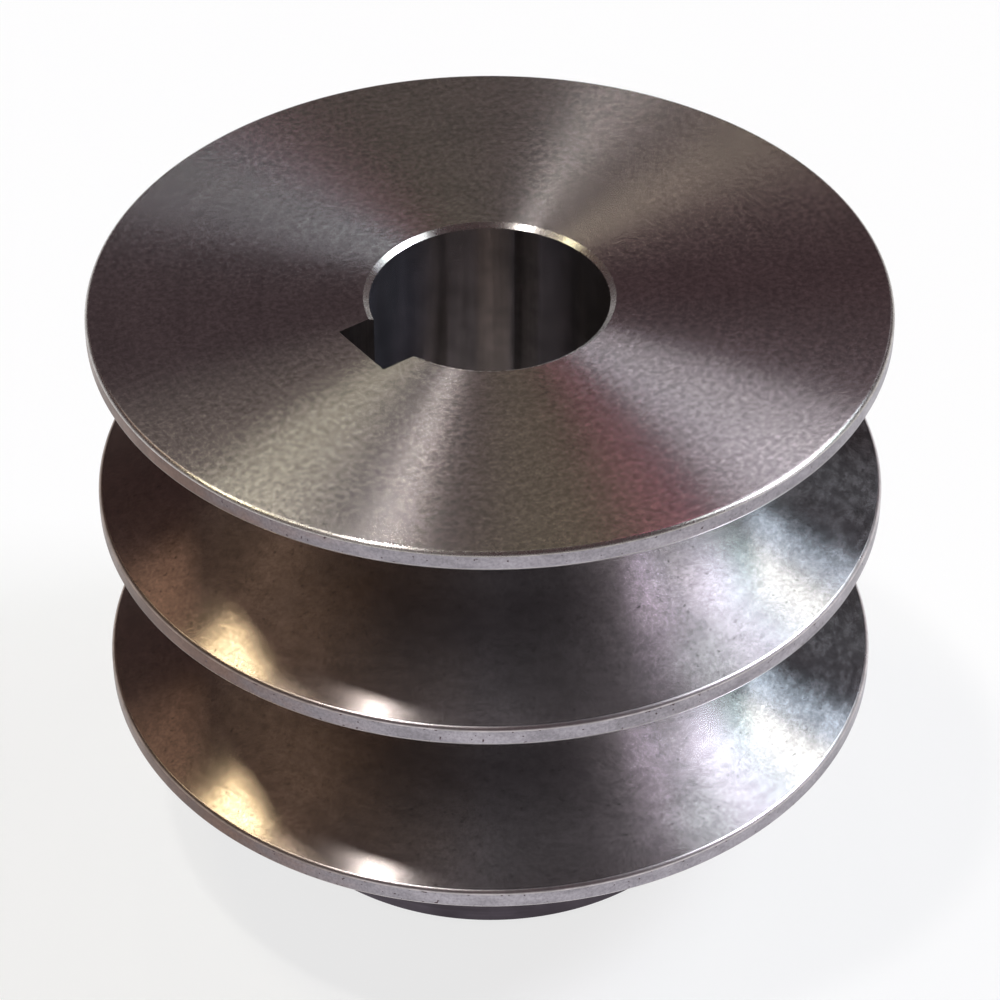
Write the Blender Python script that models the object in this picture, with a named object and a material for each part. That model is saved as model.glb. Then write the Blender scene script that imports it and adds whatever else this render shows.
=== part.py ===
# Two-groove motor pulley, turned from one piece of steel, with a keyed bore.
#
# Frame: metres, +Z up along the bore. The origin is the centre of the hub's end
# face, on which the pulley stands. The keyway and the set-screw hole lie at -X.

import math

import bmesh
import bpy
from mathutils import Matrix, Vector

# Belt grooves
GROOVE_COUNT = 2
OUTSIDE_RADIUS = 0.03175
GROOVE_TOP_WIDTH = 0.0156
GROOVE_DEPTH = 0.0145
GROOVE_HALF_ANGLE = math.radians(17.0)
LAND_WIDTH = 0.0016
LAND_EDGE_RADIUS = 0.0003
ROOT_FILLET = 0.0010

# Hub
HUB_RADIUS = 0.0200
HUB_LENGTH = 0.0140
HUB_FILLET = 0.0010
HUB_CHAMFER = 0.0008

# Bore and keyway, for a 19 mm motor shaft with a 6 mm key
BORE_RADIUS = 0.0095
BORE_CHAMFER = 0.0005
KEYWAY_WIDTH = 0.0060
KEYWAY_DEPTH = 0.0028

# Set screw over the key: the tapping hole of an M6 thread
SET_SCREW_HOLE_RADIUS = 0.0025

# Facets
TURNED_STEPS = 96
HOLE_STEPS = 24
EDGE_STEPS = 2
FILLET_STEPS = 3
SMOOTH_ANGLE = math.radians(25.0)

# The longest part of a side that one corner's rounding may take
FILLET_SHARE = 0.49

# Worked out from the sizes above
PITCH = GROOVE_TOP_WIDTH + LAND_WIDTH
FLANGES_LENGTH = GROOVE_COUNT * PITCH + LAND_WIDTH
TOTAL_LENGTH = HUB_LENGTH + FLANGES_LENGTH
ROOT_RADIUS = OUTSIDE_RADIUS - GROOVE_DEPTH
FLANK_RISE = GROOVE_DEPTH * math.tan(GROOVE_HALF_ANGLE)
KEYWAY_FLOOR = BORE_RADIUS + KEYWAY_DEPTH
SET_SCREW_HEIGHT = HUB_LENGTH / 2.0

# How far a cutter runs past the surface that it opens
CUT_OVERRUN = 0.002

STEEL_COLOUR = (0.33, 0.31, 0.30, 1.0)
STEEL_ROUGHNESS = 0.32


def clear_scene():
    for existing in list(bpy.data.objects):
        bpy.data.objects.remove(existing, do_unlink=True)


def steel_material():
    material = bpy.data.materials.new("turned_steel")
    material.use_nodes = True
    shader = material.node_tree.nodes["Principled BSDF"]
    shader.inputs["Base Color"].default_value = STEEL_COLOUR
    shader.inputs["Metallic"].default_value = 1.0
    shader.inputs["Roughness"].default_value = STEEL_ROUGHNESS
    return material


def sharp_half_section():
    """The section's corners as (radius, height, corner radius, arc steps)."""
    corners = [
        (BORE_RADIUS, BORE_CHAMFER, 0.0, 0),
        (BORE_RADIUS + BORE_CHAMFER, 0.0, 0.0, 0),
        (HUB_RADIUS - HUB_CHAMFER, 0.0, 0.0, 0),
        (HUB_RADIUS, HUB_CHAMFER, 0.0, 0),
        (HUB_RADIUS, HUB_LENGTH, HUB_FILLET, FILLET_STEPS),
        (OUTSIDE_RADIUS, HUB_LENGTH, LAND_EDGE_RADIUS, EDGE_STEPS),
    ]
    for groove in range(GROOVE_COUNT):
        low_edge = HUB_LENGTH + LAND_WIDTH + groove * PITCH
        high_edge = low_edge + GROOVE_TOP_WIDTH
        corners += [
            (OUTSIDE_RADIUS, low_edge, LAND_EDGE_RADIUS, EDGE_STEPS),
            (ROOT_RADIUS, low_edge + FLANK_RISE, ROOT_FILLET, FILLET_STEPS),
            (ROOT_RADIUS, high_edge - FLANK_RISE, ROOT_FILLET, FILLET_STEPS),
            (OUTSIDE_RADIUS, high_edge, LAND_EDGE_RADIUS, EDGE_STEPS),
        ]
    corners += [
        (OUTSIDE_RADIUS, TOTAL_LENGTH, LAND_EDGE_RADIUS, EDGE_STEPS),
        (BORE_RADIUS + BORE_CHAMFER, TOTAL_LENGTH, 0.0, 0),
        (BORE_RADIUS, TOTAL_LENGTH - BORE_CHAMFER, 0.0, 0),
    ]
    return corners


def corner_arc(before, corner, after, radius, steps):
    """Points of the arc that rounds a corner, tangent to both of its sides."""
    corner = Vector(corner)
    back = Vector(before) - corner
    ahead = Vector(after) - corner
    half_angle = back.angle(ahead) / 2.0
    # A fillet is limited by the walls beside it
    longest_tangent = FILLET_SHARE * min(back.length, ahead.length)
    tangent = min(radius / math.tan(half_angle), longest_tangent)
    back.normalize()
    ahead.normalize()
    bisector = (back + ahead).normalized()
    centre = corner + bisector * (tangent / math.cos(half_angle))
    fitted_radius = tangent * math.tan(half_angle)
    first_spoke = (corner + back * tangent - centre).normalized()
    last_spoke = (corner + ahead * tangent - centre).normalized()
    spokes = [first_spoke.slerp(last_spoke, step / steps) for step in range(steps + 1)]
    return [centre + spoke * fitted_radius for spoke in spokes]


def rounded_half_section():
    corners = sharp_half_section()
    outline = []
    for index, (radius, height, rounding, steps) in enumerate(corners):
        if steps == 0:
            outline.append((radius, height))
            continue
        before = corners[index - 1][:2]
        after = corners[(index + 1) % len(corners)][:2]
        outline += corner_arc(before, (radius, height), after, rounding, steps)
    return outline


def turn_solid(name, outline, steps, material):
    """Spin a closed half-section round the Z axis into one closed solid."""
    mesh = bpy.data.meshes.new(name)
    shape = bmesh.new()
    points = [shape.verts.new((radius, 0.0, height)) for radius, height in outline]
    edges = [shape.edges.new((points[i - 1], points[i])) for i in range(len(points))]
    bmesh.ops.spin(shape, geom=points + edges, cent=(0, 0, 0), axis=(0, 0, 1),
                   angle=2.0 * math.pi, steps=steps, use_merge=True)
    bmesh.ops.recalc_face_normals(shape, faces=shape.faces)
    shape.to_mesh(mesh)
    shape.free()
    mesh.shade_smooth()
    mesh.set_sharp_from_angle(angle=SMOOTH_ANGLE)
    mesh.materials.append(material)
    turned = bpy.data.objects.new(name, mesh)
    bpy.context.collection.objects.link(turned)
    return turned


def make_cutter(name, shape):
    mesh = bpy.data.meshes.new(name)
    bmesh.ops.recalc_face_normals(shape, faces=shape.faces)
    shape.to_mesh(mesh)
    shape.free()
    cutter = bpy.data.objects.new(name, mesh)
    cutter.hide_render = True
    cutter.display_type = 'WIRE'
    bpy.context.collection.objects.link(cutter)
    return cutter


def keyway_cutter():
    """A bar from the bore's axis to the keyway's floor, as a broach sweeps it."""
    shape = bmesh.new()
    bmesh.ops.create_cube(shape, size=1.0)
    bar_length = TOTAL_LENGTH + 2.0 * CUT_OVERRUN
    bmesh.ops.scale(shape, vec=(KEYWAY_FLOOR, KEYWAY_WIDTH, bar_length), verts=shape.verts)
    middle = (-KEYWAY_FLOOR / 2.0, 0.0, TOTAL_LENGTH / 2.0)
    bmesh.ops.translate(shape, vec=middle, verts=shape.verts)
    return make_cutter("keyway_cutter", shape)


def set_screw_cutter():
    """A drill that comes in through the hub and breaks into the keyway."""
    inner_end = BORE_RADIUS
    outer_end = HUB_RADIUS + CUT_OVERRUN
    shape = bmesh.new()
    bmesh.ops.create_cone(shape, cap_ends=True, segments=HOLE_STEPS,
                          radius1=SET_SCREW_HOLE_RADIUS, radius2=SET_SCREW_HOLE_RADIUS,
                          depth=outer_end - inner_end)
    bmesh.ops.rotate(shape, matrix=Matrix.Rotation(math.pi / 2.0, 3, 'Y'), verts=shape.verts)
    middle = (-(inner_end + outer_end) / 2.0, 0.0, SET_SCREW_HEIGHT)
    bmesh.ops.translate(shape, vec=middle, verts=shape.verts)
    return make_cutter("set_screw_cutter", shape)


def cut(solid, cutter):
    modifier = solid.modifiers.new(cutter.name, 'BOOLEAN')
    modifier.operation = 'DIFFERENCE'
    modifier.solver = 'EXACT'
    modifier.object = cutter


def build_pulley():
    pulley = turn_solid("pulley", rounded_half_section(), TURNED_STEPS, steel_material())
    cut(pulley, keyway_cutter())
    cut(pulley, set_screw_cutter())
    return pulley


clear_scene()
build_pulley()
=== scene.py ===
# %% [markdown]
# A motor pulley with two V grooves, turned on a lathe from one bar of steel. The
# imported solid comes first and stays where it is. This lesson then builds the finely
# turned skin that stands for it, the finishes that each tool leaves, a plain studio
# and the camera.

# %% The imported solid
import math

import bmesh
import bpy
from mathutils import Matrix, Vector


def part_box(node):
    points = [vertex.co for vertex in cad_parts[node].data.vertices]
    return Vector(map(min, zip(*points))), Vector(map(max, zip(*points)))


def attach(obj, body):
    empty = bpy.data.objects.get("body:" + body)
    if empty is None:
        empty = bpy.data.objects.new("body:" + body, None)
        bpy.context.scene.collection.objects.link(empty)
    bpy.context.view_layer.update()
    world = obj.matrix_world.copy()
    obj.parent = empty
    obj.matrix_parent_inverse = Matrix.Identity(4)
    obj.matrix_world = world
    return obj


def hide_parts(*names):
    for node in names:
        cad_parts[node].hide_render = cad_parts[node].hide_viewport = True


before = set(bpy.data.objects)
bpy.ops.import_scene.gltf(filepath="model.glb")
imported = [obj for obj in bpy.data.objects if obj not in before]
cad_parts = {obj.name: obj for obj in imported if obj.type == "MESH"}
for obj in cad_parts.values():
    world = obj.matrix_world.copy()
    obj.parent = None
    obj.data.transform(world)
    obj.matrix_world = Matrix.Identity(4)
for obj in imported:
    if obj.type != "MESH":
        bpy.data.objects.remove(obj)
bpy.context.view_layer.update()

low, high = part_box("pulley")
print("solid pulley, mm:", [round(1000 * side, 2) for side in high - low])

# %% [markdown]
# The skin has to lie exactly where the solid lies, so its overall sizes are read
# from the solid's box. The sizes inside that box are the drawing's own, and what
# follows from them is worked out here once.

# %% Drawing sizes
OUTSIDE_RADIUS = high.x
LENGTH = high.z
GROOVE_COUNT = 2
GROOVE_TOP_WIDTH = 0.0156
GROOVE_DEPTH = 0.0145
GROOVE_HALF_ANGLE = math.radians(17.0)
LAND_WIDTH = 0.0016
HUB_RADIUS = 0.0200
HUB_CHAMFER = 0.0008
BORE_RADIUS = 0.0095
KEYWAY_WIDTH = 0.0060
KEYWAY_DEPTH = 0.0028

PITCH = GROOVE_TOP_WIDTH + LAND_WIDTH
HUB_LENGTH = LENGTH - GROOVE_COUNT * PITCH - LAND_WIDTH
ROOT_RADIUS = OUTSIDE_RADIUS - GROOVE_DEPTH
FLANK_RISE = GROOVE_DEPTH * math.tan(GROOVE_HALF_ANGLE)
KEYWAY_FLOOR = BORE_RADIUS + KEYWAY_DEPTH
print("hub length, mm:", round(1000 * HUB_LENGTH, 2))

# %% [markdown]
# The camera has a long lens, stands about ten outside radii away and looks down on
# the front face. Its place is given by its turn round the pulley, its rise above
# the front face and its distance from that face's centre, so it is built up from
# one turn, one step and one tilt. The picture is square, and nothing is shifted.

# %% Camera
CAMERA_TURN = math.radians(-36.3)
CAMERA_RISE = math.radians(36.12)
CAMERA_DISTANCE = 9.636 * OUTSIDE_RADIUS
CAMERA_SIDE_STEP = 0.0254 * OUTSIDE_RADIUS
LOOK_DOWN = math.radians(39.14)
SENSOR_WIDTH = 36.0
FOCAL_SHARE = 3.890

camera_data = bpy.data.cameras.new("camera")
camera_data.sensor_width = SENSOR_WIDTH
camera_data.lens = SENSOR_WIDTH * FOCAL_SHARE
camera_data.clip_start = 0.01
camera = bpy.data.objects.new("camera", camera_data)
bpy.context.scene.collection.objects.link(camera)
stand = Vector((CAMERA_SIDE_STEP,
                -CAMERA_DISTANCE * math.cos(CAMERA_RISE),
                LENGTH + CAMERA_DISTANCE * math.sin(CAMERA_RISE)))
turn = Matrix.Rotation(CAMERA_TURN, 4, 'Z')
tilt = Matrix.Rotation(math.pi / 2.0 - LOOK_DOWN, 4, 'X')
camera.matrix_world = turn @ Matrix.Translation(stand) @ tilt
bpy.context.scene.camera = camera
print("camera at, m:", [round(part, 3) for part in camera.matrix_world.translation])

# %% [markdown]
# Shader sums are easier to read as sums. A Signal wraps one output socket of a node,
# and arithmetic on it adds Math nodes. A Finish holds one material, and its node
# method makes every other kind of node.

# %% A small language for finishes
class Signal:
    """One output socket, which can be added, subtracted, multiplied and divided."""

    def __init__(self, finish, socket):
        self.finish = finish
        self.socket = socket

    def output(self, name):
        return Signal(self.finish, self.socket.node.outputs[name])

    def maths(self, operation, *values):
        return self.finish.node('ShaderNodeMath', {"operation": operation}, dict(enumerate(values)))

    def __add__(self, other):
        return self.maths('ADD', self, other)

    def __radd__(self, other):
        return self.maths('ADD', other, self)

    def __sub__(self, other):
        return self.maths('SUBTRACT', self, other)

    def __rsub__(self, other):
        return self.maths('SUBTRACT', other, self)

    def __mul__(self, other):
        return self.maths('MULTIPLY', self, other)

    def __rmul__(self, other):
        return self.maths('MULTIPLY', other, self)

    def __truediv__(self, other):
        return self.maths('DIVIDE', self, other)

    def __mod__(self, other):
        return self.maths('FLOORED_MODULO', self, other)

    def __abs__(self):
        return self.maths('ABSOLUTE', self)


class Finish:
    """One material: a Principled shader and the nodes that drive its sockets."""

    def __init__(self, name, **constants):
        self.material = bpy.data.materials.new(name)
        self.material.use_nodes = True
        self.tree = self.material.node_tree
        self.shader = self.tree.nodes["Principled BSDF"]
        for socket_name, value in constants.items():
            self.shader.inputs[socket_name.replace("_", " ")].default_value = value

    def node(self, kind, settings, sockets, output=0):
        made = self.tree.nodes.new(kind)
        for setting, value in settings.items():
            setattr(made, setting, value)
        for key, value in sockets.items():
            if isinstance(value, Signal):
                self.tree.links.new(value.socket, made.inputs[key])
            else:
                made.inputs[key].default_value = value
        return Signal(self, made.outputs[output])

    def drive(self, socket_name, signal):
        self.tree.links.new(signal.socket, self.shader.inputs[socket_name])

# %% [markdown]
# On a turned piece, marks follow the tool: round the axis they are long, across it
# they are short. So a pattern is laid out by direction and by a run, which is radius
# plus height, and the number of cells to the metre is given for each way. Direction
# comes from x and y over the radius, which has no seam where an angle would jump.

# %% Coordinates and patterns
class TurnedFinish(Finish):
    """A finish on a turned surface, laid out round and along the Z axis."""

    def __init__(self, name, metallic=1.0, **constants):
        super().__init__(name, Metallic=metallic, **constants)
        self.place = self.node('ShaderNodeTexCoord', {}, {}, "Object")
        x = self.node('ShaderNodeSeparateXYZ', {}, {0: self.place})
        self.x, self.y, self.height = x, x.output("Y"), x.output("Z")
        across = self.node('ShaderNodeCombineXYZ', {}, {0: self.x, 1: self.y})
        self.radius = self.node('ShaderNodeVectorMath', {"operation": 'LENGTH'}, {0: across}, "Value")

    def laid(self, around, across, shift=0.0):
        """The pattern's place, for so many cells to the metre around and across."""
        reach = OUTSIDE_RADIUS * around
        run = (self.radius + self.height) * across + shift
        return self.node('ShaderNodeCombineXYZ', {}, {
            0: self.x / self.radius * reach, 1: self.y / self.radius * reach, 2: run})

    def towards(self, azimuth):
        """1 on the side at that azimuth of the picture, -1 on the side away from it."""
        angle = math.radians(azimuth) + CAMERA_TURN
        return (self.x * math.cos(angle) + self.y * math.sin(angle)) / self.radius

    def noise(self, place, scale=1.0, detail=2.0, roughness=0.5, distortion=0.0):
        return self.node('ShaderNodeTexNoise', {}, {
            "Vector": place, "Scale": scale, "Detail": detail, "Roughness": roughness,
            "Distortion": distortion})

    def ramp(self, signal, start, end, first=0.0, last=1.0):
        return self.node('ShaderNodeMapRange', {"interpolation_type": 'SMOOTHSTEP'}, {
            0: signal, 1: start, 2: end, 3: first, 4: last})

    def shaded(self, colour, shade):
        return self.node('ShaderNodeVectorMath', {"operation": 'SCALE'}, {0: colour, "Scale": shade})

    def blended(self, share, first, second):
        return self.node('ShaderNodeMix', {"data_type": 'RGBA'}, {0: share, 6: first, 7: second}, 2)

    def bump(self, height, distance):
        return self.node('ShaderNodeBump', {}, {"Height": height, "Distance": distance}, "Normal")

# %% [markdown]
# The front face was faced with a single-point tool, whose fine marks run round the
# bore. They throw light across themselves, so each lamp becomes a fan along the
# radius. The Principled shader stretches a highlight along the tangent, which runs
# round Z, and a quarter turn of it points the stretch along the radius. A fine
# grain and a soft mottle break the fans up, as the torn crests of real tool marks
# do, and a painted reflection tint cools the steel's colour on the far left side.
# Finishes are kept by the zone of the pulley that they belong to.

# %% Faced steel
ALONG_RADIUS = 0.25
BARE_STEEL = (0.54, 0.505, 0.505, 1.0)
PAINTED_REFLECTION_STEEL = (0.54, 0.56, 0.555, 1.0)
PAINTED_REFLECTION_SIDE = 160.0
FACING_HEIGHT = 0.0000010

def faced_steel():
    finish = TurnedFinish("faced_steel", Anisotropic=0.98, Anisotropic_Rotation=ALONG_RADIUS)
    grain = finish.noise(finish.place, 4600.0, 3.0, 0.7)
    mottle = finish.noise(finish.place, 2000.0, 4.0, 0.65)
    clouds = finish.noise(finish.place, 190.0, 4.0, 0.6)
    rings = finish.noise(finish.laid(30.0, 3500.0), 1.0, 3.0, 0.6)
    shade = (finish.ramp(grain, 0.32, 0.70, 0.88, 1.12)
             * finish.ramp(mottle, 0.32, 0.68, 0.80, 1.20)
             * finish.ramp(clouds, 0.30, 0.70, 0.93, 1.07)
             * finish.ramp(rings, 0.30, 0.70, 0.95, 1.05))
    # Painted reflection: towards the far left the steel is tinted cooler and greener, like a weak
    # greenish light mirrored in it.
    side_tinted = finish.ramp(finish.towards(PAINTED_REFLECTION_SIDE), -0.50, 0.80)
    finish.drive("Base Color", finish.shaded(finish.blended(side_tinted, BARE_STEEL, PAINTED_REFLECTION_STEEL), shade))
    finish.drive("Roughness", finish.ramp(clouds, 0.30, 0.70, 0.175, 0.167))
    finish.drive("Normal", finish.bump(0.20 * grain + 1.4 * mottle, FACING_HEIGHT))
    return finish.material


finishes = {"face": faced_steel()}
print("made:", finishes["face"].name)

# %% [markdown]
# The lands are the pulley's outside, turned last and handled since. They mirror the
# pale bench, and small dark pits sit along both of their edges. A land's own height
# comes from a modulo of the pitch, so one finish serves all three lands. On one side
# they are browner and darker.

# %% Land steel
LAND_STEEL = (0.36, 0.335, 0.37, 1.0)
LAND_BROWNED = (0.175, 0.113, 0.093, 1.0)
BROWNED_SIDE = -158.0
PIT_DARK = (0.10, 0.07, 0.08, 1.0)
PIT_DEPTH = 0.00002

def land_steel():
    finish = TurnedFinish("land_steel", Anisotropic=0.4, Anisotropic_Rotation=ALONG_RADIUS)
    over_land = (finish.height - HUB_LENGTH) % PITCH
    from_middle = abs(over_land - LAND_WIDTH / 2.0) / (LAND_WIDTH / 2.0)
    near_edge = finish.ramp(from_middle, 0.35, 0.85)
    pits = finish.noise(finish.place, 2900.0, 1.0, 0.5)
    pitted = finish.ramp(pits - 0.08 * (1.0 - near_edge), 0.63, 0.68)
    clouds = finish.noise(finish.laid(220.0, 500.0), 1.0, 4.0, 0.65)
    grain = finish.noise(finish.place, 4200.0, 2.0, 0.6)
    shade = finish.ramp(clouds, 0.30, 0.70, 0.78, 1.14) * finish.ramp(grain, 0.30, 0.70, 0.86, 1.12)
    browned = finish.ramp(finish.towards(BROWNED_SIDE) + 0.5 * clouds, 0.80, 1.22)
    clean = finish.shaded(finish.blended(browned, LAND_STEEL, LAND_BROWNED), shade)
    finish.drive("Base Color", finish.blended(pitted, clean, PIT_DARK))
    finish.drive("Roughness", finish.ramp(clouds, 0.30, 0.70, 0.38, 0.30))
    finish.drive("Normal", finish.bump(0.0 - pitted, PIT_DEPTH))
    return finish.material


finishes["land"] = land_steel()
print("made:", finishes["land"].name)

# %% [markdown]
# The rounded edges beside the lands are polished by handling, so each one draws a
# crisp bright line, and on one side they are browner and darker. The facing tool
# broke the edges of the bore and of the front rim. They are tilted, so they catch
# each strong lamp as a glint, and a strong stretch along the radius keeps those
# glints short.

# %% Edge steel
EDGE_STEEL = (0.58, 0.54, 0.55, 1.0)
EDGE_BROWNED = (0.30, 0.235, 0.20, 1.0)
BROKEN_EDGE_STEEL = (0.53, 0.50, 0.48)

def edge_steel():
    finish = TurnedFinish("edge_steel", Anisotropic=0.5, Anisotropic_Rotation=ALONG_RADIUS)
    nicks = finish.noise(finish.laid(500.0, 200.0), 1.0, 4.0, 0.65)
    browned = finish.ramp(finish.towards(BROWNED_SIDE), 0.50, 0.90)
    steel = finish.blended(browned, EDGE_STEEL, EDGE_BROWNED)
    finish.drive("Base Color", finish.shaded(steel, finish.ramp(nicks, 0.30, 0.70, 0.75, 1.15)))
    finish.drive("Roughness", finish.ramp(nicks, 0.30, 0.70, 0.34, 0.27))
    return finish.material


def broken_edge_steel():
    finish = TurnedFinish("broken_edge_steel", Anisotropic=0.90, Anisotropic_Rotation=ALONG_RADIUS)
    nicks = finish.noise(finish.place, 1800.0, 3.0, 0.6)
    shade = finish.ramp(nicks, 0.30, 0.70, 0.85, 1.10)
    finish.drive("Base Color", finish.shaded(BROKEN_EDGE_STEEL, shade))
    finish.drive("Roughness", finish.ramp(nicks, 0.30, 0.70, 0.29, 0.25))
    return finish.material


finishes["edge"] = edge_steel()
finishes["broken_edge"] = broken_edge_steel()
print("made:", finishes["edge"].name, "and", finishes["broken_edge"].name)

# %% [markdown]
# The groove flanks were turned with a form tool, which leaves a rougher surface than
# facing does, and were oiled after that. The oil has dried in smears: long soft ones
# all round, dark broken ones on one side and brown stains on the other, and tiny
# dark pits lie in between. Painted shade darkens the left and the near side. Beside
# the smeared side a painted highlight brightens the steel, most of all deep in the
# grooves, and painted shade keeps the root dark. Each of these is a share that the
# steel's colour loses or gains, and the shares are multiplied.

# %% Flank steel
FLANK_STEEL = (0.40, 0.378, 0.388, 1.0)
FLANK_BROWNED = (0.372, 0.294, 0.249, 1.0)
FLANK_SMEARED = (0.357, 0.376, 0.394, 1.0)
SMEARED_SIDE = -2.0
PAINTED_HIGHLIGHT_SIDE = -34.0
LEFT_SIDE = 180.0
NEAR_SIDE = -95.0
DEEP_FROM = 0.0285
DEEP_FULLY = 0.0225
FORM_TOOL_HEIGHT = 0.0000006

def flank_steel():
    finish = TurnedFinish("flank_steel", Anisotropic=0.93, Anisotropic_Rotation=ALONG_RADIUS)
    clouds = finish.noise(finish.laid(80.0, 130.0), 1.0, 3.0, 0.55)
    smears = finish.noise(finish.laid(500.0, 2000.0, 7.0), 1.0, 4.0, 0.6)
    grain = finish.noise(finish.place, 3400.0, 3.0, 0.6)
    pits = finish.noise(finish.place, 2600.0, 1.0, 0.5)
    pitted = finish.ramp(pits + 0.10 * clouds, 0.73, 0.80)
    shade = (finish.ramp(clouds, 0.30, 0.70, 0.84, 1.12)
             * finish.ramp(smears, 0.30, 0.66, 0.90, 1.06)
             * finish.ramp(grain, 0.32, 0.68, 0.86, 1.12)
             * (1.0 - 0.40 * pitted))
    browned = finish.ramp(finish.towards(BROWNED_SIDE) + 0.4 * clouds, 0.55, 1.15)
    blotches = finish.noise(finish.laid(600.0, 1900.0, 3.0), 1.0, 4.0, 0.65)
    smeared = finish.ramp(finish.towards(SMEARED_SIDE), 0.85, 0.98)
    dried = smeared * finish.ramp(blotches, 0.61, 0.39, 0.30, 1.0)
    stained = browned * finish.ramp(blotches, 0.44, 0.62)
    # Painted highlight: beside the smeared side the steel is made brighter, most of all deep in the
    # grooves.
    painted_highlight = finish.ramp(finish.towards(PAINTED_HIGHLIGHT_SIDE), 0.82, 0.97)
    deep = finish.ramp(finish.radius, DEEP_FROM, DEEP_FULLY)
    # Painted shade: the left and the near side are made darker.
    left = finish.ramp(finish.towards(LEFT_SIDE), 0.80, 1.00)
    near = finish.ramp(finish.towards(NEAR_SIDE), 0.80, 1.00)
    # Painted shade: the groove's root is made darker.
    root = finish.ramp(finish.radius, ROOT_RADIUS + 0.0012, ROOT_RADIUS + 0.0002)
    dried_loss = dried * (0.57 - 0.36 * deep)
    painted_shade_loss = 0.28 * left + 0.14 * near
    painted_highlight_gain = painted_highlight * (0.12 + 0.55 * deep)
    kept = ((1.0 - dried_loss) * (1.0 - painted_shade_loss) * (1.0 + painted_highlight_gain)
            * (1.0 - 0.40 * root) * (1.0 - 0.12 * stained))
    side_tinted = finish.blended(browned, FLANK_STEEL, FLANK_BROWNED)
    steel = finish.blended(smeared, side_tinted, FLANK_SMEARED)
    finish.drive("Base Color", finish.shaded(steel, shade * kept))
    finish.drive("Roughness", finish.ramp(clouds, 0.34, 0.62, 0.235, 0.21))
    finish.drive("Normal", finish.bump(grain, FORM_TOOL_HEIGHT))
    return finish.material


finishes["flank"] = flank_steel()
print("made:", finishes["flank"].name)

# %% [markdown]
# The bore was reamed. Its wall is the smoothest of all, so it mirrors the keyway as
# sharp upright bands. Its colour is bluish on one side and darker on the other. A
# metallic share a little under 1 adds some of the steel's own colour.

# %% Bore steel
BORE_STEEL = (0.575, 0.53, 0.515, 1.0)
BORE_BLUED = (0.41, 0.41, 0.465, 1.0)
BLUED_SIDE = 180.0

def bore_steel():
    finish = TurnedFinish("bore_steel", metallic=0.92, Anisotropic=1.0,
                          Anisotropic_Rotation=ALONG_RADIUS)
    streaks = finish.noise(finish.laid(900.0, 90.0), 1.0, 3.0, 0.6)
    clouds = finish.noise(finish.place, 420.0, 4.0, 0.6)
    shade = finish.ramp(streaks, 0.30, 0.70, 0.90, 1.06) * finish.ramp(clouds, 0.30, 0.70, 0.70, 1.15)
    blued = finish.ramp(finish.towards(BLUED_SIDE), 0.35, 0.70)
    darkened_side = finish.ramp(finish.towards(BLUED_SIDE), -0.05, -0.25)
    steel = finish.blended(blued, BORE_STEEL, BORE_BLUED)
    finish.drive("Base Color", finish.shaded(steel, shade * (1.0 - 0.25 * darkened_side)))
    finish.drive("Roughness", finish.ramp(clouds, 0.30, 0.70, 0.15, 0.11))
    return finish.material


finishes["bore"] = bore_steel()
print("made:", finishes["bore"].name)

# %% [markdown]
# The keyway was pulled through with a broach, whose marks run along the bore, so its
# noise is fine around the axis and long across. The hub is as the parting tool left
# it, dull, with marks that run round. Its dark colour is painted shade from the
# flanges above it.

# %% Keyway and hub steel
BROACHED_STEEL = (0.24, 0.22, 0.22)
# The hub's dark colour is painted shade, as cast by the flanges above it.
PAINTED_SHADE_HUB_STEEL = (0.088, 0.073, 0.090)

def broached_steel():
    finish = TurnedFinish("broached_steel")
    marks = finish.noise(finish.laid(2600.0, 60.0), 1.0, 2.0, 0.6)
    clouds = finish.noise(finish.place, 500.0, 3.0, 0.6)
    shade = finish.ramp(marks, 0.30, 0.70, 0.75, 1.10) * finish.ramp(clouds, 0.30, 0.70, 0.80, 1.10)
    finish.drive("Base Color", finish.shaded(BROACHED_STEEL, shade))
    finish.drive("Roughness", finish.ramp(marks, 0.30, 0.70, 0.40, 0.28))
    return finish.material


def shaded_hub_steel():
    finish = TurnedFinish("shaded_hub_steel", Anisotropic=0.5, Anisotropic_Rotation=ALONG_RADIUS)
    marks = finish.noise(finish.laid(60.0, 2600.0), 1.0, 3.0, 0.6)
    clouds = finish.noise(finish.laid(150.0, 300.0), 1.0, 4.0, 0.6)
    shade = finish.ramp(marks, 0.30, 0.70, 0.85, 1.10) * finish.ramp(clouds, 0.30, 0.70, 0.80, 1.10)
    finish.drive("Base Color", finish.shaded(PAINTED_SHADE_HUB_STEEL, shade))
    finish.drive("Roughness", finish.ramp(clouds, 0.30, 0.70, 0.38, 0.32))
    return finish.material


finishes["keyway"] = broached_steel()
finishes["hub"] = shaded_hub_steel()
ZONES = list(finishes)
print("zones with a finish:", ZONES)

# %% [markdown]
# The pulley could be an Array of discs, but a turner would draw its half-section.
# The outline's corners are placed from the drawing sizes, and a vertex bevel rounds
# them as a file or a tool nose does.

# %% Half-section
LAND_EDGE = 0.0003
FRONT_EDGE = 0.0004
BORE_MOUTH_WIDTH = 0.00045
BORE_MOUTH_DEPTH = 0.00031
ROOT_FILLET = 0.0007
HUB_FILLET = 0.0010
EDGE_STEPS = 6
FILLET_STEPS = 8

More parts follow.
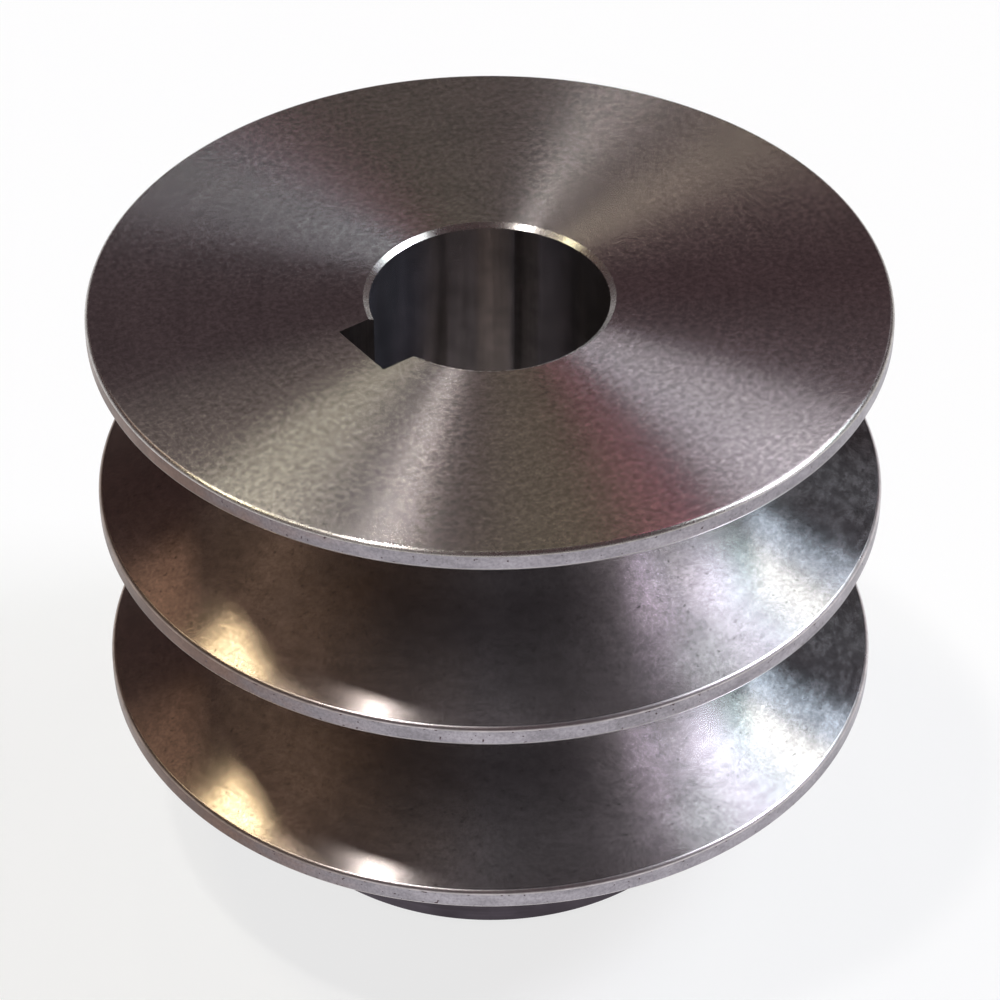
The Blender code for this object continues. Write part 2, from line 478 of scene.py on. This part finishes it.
def half_section():
    """The outline's corners as (radius, height, rounding, steps)."""
    corners = [
        (BORE_RADIUS, BORE_MOUTH_DEPTH, 0.0, 0),
        (BORE_RADIUS + BORE_MOUTH_WIDTH, 0.0, 0.0, 0),
        (HUB_RADIUS - HUB_CHAMFER, 0.0, 0.0, 0),
        (HUB_RADIUS, HUB_CHAMFER, 0.0, 0),
        (HUB_RADIUS, HUB_LENGTH, HUB_FILLET, FILLET_STEPS),
        (OUTSIDE_RADIUS, HUB_LENGTH, LAND_EDGE, EDGE_STEPS),
    ]
    for groove in range(GROOVE_COUNT):
        low_edge = HUB_LENGTH + LAND_WIDTH + groove * PITCH
        high_edge = low_edge + GROOVE_TOP_WIDTH
        corners += [
            (OUTSIDE_RADIUS, low_edge, LAND_EDGE, EDGE_STEPS),
            (ROOT_RADIUS, low_edge + FLANK_RISE, ROOT_FILLET, FILLET_STEPS),
            (ROOT_RADIUS, high_edge - FLANK_RISE, ROOT_FILLET, FILLET_STEPS),
            (OUTSIDE_RADIUS, high_edge, LAND_EDGE, EDGE_STEPS),
        ]
    corners += [
        (OUTSIDE_RADIUS, LENGTH, FRONT_EDGE, EDGE_STEPS),
        (BORE_RADIUS + BORE_MOUTH_WIDTH, LENGTH, 0.0, 0),
        (BORE_RADIUS, LENGTH - BORE_MOUTH_DEPTH, 0.0, 0),
    ]
    return corners


def outline_in(shape):
    corners = half_section()
    points = [shape.verts.new((radius, 0.0, height)) for radius, height, _, _ in corners]
    for here, there in zip(points, points[1:] + points[:1]):
        shape.edges.new((here, there))
    for point, (_, _, rounding, steps) in zip(points, corners):
        if steps:
            bmesh.ops.bevel(shape, geom=[point], offset=rounding, offset_type='OFFSET',
                            segments=steps, profile=0.5, affect='VERTICES', material=-1)


body = bmesh.new()
outline_in(body)
print("outline points:", len(body.verts))

# %% [markdown]
# One full spin round Z turns the outline into the whole body, as the lathe does. The
# last step is merged with the first, so the body is closed. A helper then makes an
# object of any finished bmesh, with its faces turned outwards, and the body stays a
# bmesh until its zones are told apart.

# %% Full turn
TURNED_STEPS = 288

def object_from(name, shape):
    """Close the bmesh into an object at the origin, with its faces pointing out."""
    bmesh.ops.recalc_face_normals(shape, faces=shape.faces)
    mesh = bpy.data.meshes.new(name)
    shape.to_mesh(mesh)
    shape.free()
    made = bpy.data.objects.new(name, mesh)
    bpy.context.scene.collection.objects.link(made)
    return made


bmesh.ops.spin(body, geom=body.verts[:] + body.edges[:], cent=(0, 0, 0), axis=(0, 0, 1),
               angle=2.0 * math.pi, steps=TURNED_STEPS, use_merge=True)
print("turned faces:", len(body.faces))

# %% [markdown]
# Each stretch of the surface gets the finish that its tool left. The zone of a face
# is told from how far out it lies, how high it lies and which way it looks, while
# the body is still a plain turned shape.

# %% Finish of each turned zone
FLAT = 0.98
UPRIGHT = 0.15

def zone(face):
    centre = face.calc_center_median()
    radius = math.hypot(centre.x, centre.y)
    upright = abs(face.normal.z) < UPRIGHT
    if radius < BORE_RADIUS + BORE_MOUTH_WIDTH:
        return "bore" if upright else "broken_edge"
    if abs(face.normal.z) > FLAT:
        return "face"
    if centre.z > LENGTH - FRONT_EDGE:
        return "land" if upright else "broken_edge"
    if radius > OUTSIDE_RADIUS - LAND_EDGE:
        return "land" if upright else "edge"
    if centre.z < HUB_LENGTH + LAND_WIDTH / 2.0:
        return "hub"
    return "flank"


bmesh.ops.recalc_face_normals(body, faces=body.faces)
body.normal_update()
for face in body.faces:
    face.material_index = ZONES.index(zone(face))
pulley = object_from("turned_pulley", body)
for finish in finishes.values():
    pulley.data.materials.append(finish)
for index, name in enumerate(ZONES):
    print(name, "faces:", sum(face.material_index == index for face in pulley.data.polygons))

# %% [markdown]
# A broach pulled through the bore cuts the keyway, and a drill and a tap make the
# set-screw hole in the hub, over the key. Each cutter is a closed shape. The tap is a
# fine cylinder whose points are moved in and out along a helix, which gives the
# thread its true pitch, and a cone makes the countersink at the hole's outer end.

# %% Cutters
OVERRUN = 0.002
TAP_INNER = 0.0025
TAP_OUTER = 0.0030
THREAD_PITCH = 0.0010
TAP_STEPS = 48
RINGS_PER_TURN = 8
COUNTERSINK_RADIUS = 0.0033

def broach():
    shape = bmesh.new()
    bmesh.ops.create_cube(shape, size=1.0)
    bmesh.ops.scale(shape, vec=(KEYWAY_FLOOR, KEYWAY_WIDTH, LENGTH + 2.0 * OVERRUN), verts=shape.verts)
    bmesh.ops.translate(shape, vec=(-KEYWAY_FLOOR / 2.0, 0.0, LENGTH / 2.0), verts=shape.verts)
    return shape


def lay_along_hole(shape, middle):
    """Turn an upright cutter to -X, at half the hub's length."""
    bmesh.ops.rotate(shape, matrix=Matrix.Rotation(-math.pi / 2.0, 3, 'Y'), verts=shape.verts)
    bmesh.ops.translate(shape, vec=(-middle, 0.0, HUB_LENGTH / 2.0), verts=shape.verts)


def tap():
    inner_end = BORE_RADIUS
    outer_end = HUB_RADIUS + OVERRUN
    depth = outer_end - inner_end
    shape = bmesh.new()
    bmesh.ops.create_cone(shape, cap_ends=True, segments=TAP_STEPS, radius1=TAP_INNER,
                          radius2=TAP_INNER, depth=depth)
    long_edges = [edge for edge in shape.edges if edge.calc_length() > depth / 2.0]
    rings = round(depth / THREAD_PITCH * RINGS_PER_TURN)
    bmesh.ops.subdivide_edges(shape, edges=long_edges, cuts=rings, use_grid_fill=False)
    for point in shape.verts:
        turns = point.co.z / THREAD_PITCH - math.atan2(point.co.y, point.co.x) / (2.0 * math.pi)
        ridge = abs(2.0 * (turns % 1.0) - 1.0)
        radius = TAP_INNER + (TAP_OUTER - TAP_INNER) * ridge
        point.co.xy = point.co.xy.normalized() * radius
    lay_along_hole(shape, (inner_end + outer_end) / 2.0)
    return shape


def countersink():
    """A cone whose middle lies on the hub, where it is as wide as the countersink."""
    shape = bmesh.new()
    bmesh.ops.create_cone(shape, cap_ends=True, segments=TAP_STEPS, radius1=0.0,
                          radius2=2.0 * COUNTERSINK_RADIUS, depth=2.0 * COUNTERSINK_RADIUS)
    lay_along_hole(shape, HUB_RADIUS)
    return shape


keyway_broach = broach()
thread_tap = tap()
hole_countersink = countersink()
print("points of the tap:", len(thread_tap.verts))

# %% [markdown]
# A Boolean takes each cutter away. Its exact solver copes with the tap's fine thread,
# and the cut keeps the finish that the cutter carries. Each one is applied at once,
# so that the next cutter meets a plain mesh.

# %% Cutting
def apply_modifiers(piece):
    scene_graph = bpy.context.evaluated_depsgraph_get()
    finished = bpy.data.meshes.new_from_object(piece.evaluated_get(scene_graph))
    piece.modifiers.clear()
    piece.data = finished


def cut_away(body, name, shape, cut_zone):
    for face in shape.faces:
        face.material_index = ZONES.index(cut_zone)
    cutter = object_from(name, shape)
    for finish in finishes.values():
        cutter.data.materials.append(finish)
    modifier = body.modifiers.new(name, 'BOOLEAN')
    modifier.operation = 'DIFFERENCE'
    modifier.solver = 'EXACT'
    modifier.object = cutter
    apply_modifiers(body)
    bpy.data.objects.remove(cutter)


cut_away(pulley, "broach", keyway_broach, "keyway")
cut_away(pulley, "tap", thread_tap, "keyway")
cut_away(pulley, "countersink", hole_countersink, "hub")
print("faces after cutting:", len(pulley.data.polygons))

# %% [markdown]
# Smooth shading would tilt the flat faces at their rounded edges. Sharp edges keep
# the real corners, and a Weighted Normal modifier gives the large flat faces the
# say at the small ones beside them. It is applied, so no modifier stays live.

# %% Shading and hand-over of the pulley
SHARP_ANGLE = math.radians(30.0)

pulley.data.shade_smooth()
pulley.data.set_sharp_from_angle(angle=SHARP_ANGLE)
weighted = pulley.modifiers.new("even_shading", 'WEIGHTED_NORMAL')
weighted.keep_sharp = True
weighted.weight = 100
apply_modifiers(pulley)
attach(pulley, "root")
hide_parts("pulley")
pulley.data.calc_loop_triangles()
print("triangles:", len(pulley.data.loop_triangles))

# %% [markdown]
# The studio is one sheet of pale paper that the hub stands on. It lies flat, bends
# up far away and ends in a low wall all round, so a low view is pale behind too. It
# is spun from three points, the middle one rounded. The paper takes the pulley's
# shadow, and a share of glow for camera and mirror rays shows it white.

# %% Paper sweep
PAPER_RADIUS = 1.3
PAPER_HEIGHT = 0.27
PAPER_BEND = 0.15
BEND_STEPS = 12
PAPER_STEPS = 96
MERGE_DISTANCE = 0.0001
PAPER_SHADE = (0.18, 0.18, 0.18, 1.0)
PAPER_GLOW = (0.77, 0.77, 0.77, 1.0)
NO_GLOW = (0.0, 0.0, 0.0, 1.0)

sweep = bmesh.new()
centre = sweep.verts.new((0.0, 0.0, 0.0))
corner = sweep.verts.new((PAPER_RADIUS, 0.0, 0.0))
edge = sweep.verts.new((PAPER_RADIUS, 0.0, PAPER_HEIGHT))
sweep.edges.new((centre, corner))
sweep.edges.new((corner, edge))
bmesh.ops.bevel(sweep, geom=[corner], offset=PAPER_BEND, offset_type='OFFSET',
                segments=BEND_STEPS, profile=0.5, affect='VERTICES', material=-1)
bmesh.ops.spin(sweep, geom=sweep.verts[:] + sweep.edges[:], cent=(0, 0, 0), axis=(0, 0, 1),
               angle=2.0 * math.pi, steps=PAPER_STEPS, use_merge=True)
bmesh.ops.remove_doubles(sweep, verts=sweep.verts, dist=MERGE_DISTANCE)
paper_sweep = object_from("paper_sweep", sweep)
paper_sweep.data.shade_smooth()

paper = Finish("paper", Roughness=1.0, Specular_IOR_Level=0.0, Emission_Strength=1.0)
paper.shader.inputs["Base Color"].default_value = PAPER_SHADE
camera_ray = paper.node('ShaderNodeLightPath', {}, {}, "Is Camera Ray")
seen = camera_ray + camera_ray.output("Is Glossy Ray") + camera_ray.output("Is Transmission Ray")
glow = paper.node('ShaderNodeMix', {"data_type": 'RGBA'}, {0: seen, 6: NO_GLOW, 7: PAPER_GLOW}, 2)
paper.drive("Emission Color", glow)
paper_sweep.data.materials.append(paper.material)
print("paper faces:", len(paper_sweep.data.polygons))

# %% [markdown]
# A broad window at the right gives most of the light. Its colour changes from pane to
# pane, so it is made of five lamps. Two warm lamps and a high one stand at the left.
# Weak lamps behind draw the fans on the face, each in its own colour, and two more
# light the flanks from behind, a brown one at the left and a cool one at the right.
# Each is a distant round lamp with an azimuth, an elevation and half of its width in
# degrees. Azimuth 0 is the picture's right and 90 is straight behind, so a lamp
# keeps its place in the picture if the camera's turn changes. Around them the room is
# dim, and the Standard view transform shows a colour as it is written.

# %% Lamps
def lamp(name, azimuth, elevation, half_width, strength, colour):
    """Hang one lamp, and give the light that it throws on flat paper."""
    data = bpy.data.lights.new(name, 'SUN')
    data.angle = math.radians(2.0 * half_width)
    data.color = colour
    data.energy = strength
    light = bpy.data.objects.new(name, data)
    bpy.context.scene.collection.objects.link(light)
    around = math.radians(azimuth) + CAMERA_TURN
    up = math.radians(elevation)
    towards = Vector((math.cos(around) * math.cos(up), math.sin(around) * math.cos(up), math.sin(up)))
    light.rotation_mode = 'QUATERNION'
    light.rotation_quaternion = towards.to_track_quat('Z', 'Y')
    light.location = towards
    return strength * math.sin(up)


level = sum([
    lamp("window", 7.5, 44.0, 8.0, 2.087, (0.87, 0.84, 1.00)),
    lamp("window_far_side", 22.5, 44.0, 8.0, 0.508, (0.70, 1.00, 0.97)),
    lamp("window_top", 9.0, 56.0, 8.0, 0.442, (0.87, 0.97, 1.00)),
    lamp("window_corner", 38.0, 46.6, 4.0, 0.150, (1.00, 0.95, 0.88)),
    lamp("window_edge", 43.0, 40.6, 4.0, 0.103, (0.77, 0.88, 1.00)),
    lamp("warm_lamp", 148.5, 58.0, 4.5, 0.436, (1.00, 0.93, 0.63)),
    lamp("warm_lamp_top", 149.5, 67.4, 4.0, 0.122, (1.00, 0.94, 0.80)),
    lamp("brown_lamp", 123.0, 49.0, 7.0, 0.0370, (1.00, 0.70, 0.50)),
    lamp("high_lamp", -175.0, 75.5, 2.2, 0.921, (1.00, 0.97, 0.94)),
    lamp("side_lamp", 64.3, 34.4, 5.0, 0.0100, (0.92, 0.97, 1.00)),
    lamp("cool_fan_lamp", 74.1, 45.3, 4.2, 0.0808, (0.94, 0.92, 1.00)),
    lamp("cool_fan_glow", 73.9, 41.0, 4.0, 0.0047, (1.00, 0.90, 0.95)),
    lamp("warm_fan_lamp", 102.7, 48.5, 2.5, 0.0385, (1.00, 0.92, 0.74)),
    lamp("warm_fan_side", 99.8, 51.4, 2.5, 0.0169, (1.00, 0.98, 0.90)),
    lamp("warm_fan_glow", 107.0, 46.0, 6.0, 0.0169, (1.00, 0.90, 0.80)),
    lamp("narrow_fan_lamp", 97.6, 55.0, 0.5, 0.0602, (1.00, 0.93, 0.90)),
    lamp("olive_fan_lamp", 91.0, 53.8, 5.0, 0.0113, (0.95, 1.00, 0.80)),
    lamp("olive_fan_glow", 86.8, 45.3, 2.7, 0.0028, (1.00, 0.95, 0.45)),
    lamp("red_fan_lamp", 79.5, 50.6, 2.0, 0.0122, (1.00, 0.25, 0.45)),
])
print("light on the paper, 1 is a plain level:", round(level / math.pi, 3))

ROOM_COLOUR = (0.081, 0.053, 0.057, 1.0)
room = bpy.data.worlds.new("dim_room")
room.use_nodes = True
room.node_tree.nodes["Background"].inputs["Color"].default_value = ROOM_COLOUR
bpy.context.scene.world = room
bpy.context.scene.view_settings.view_transform = 'Standard'
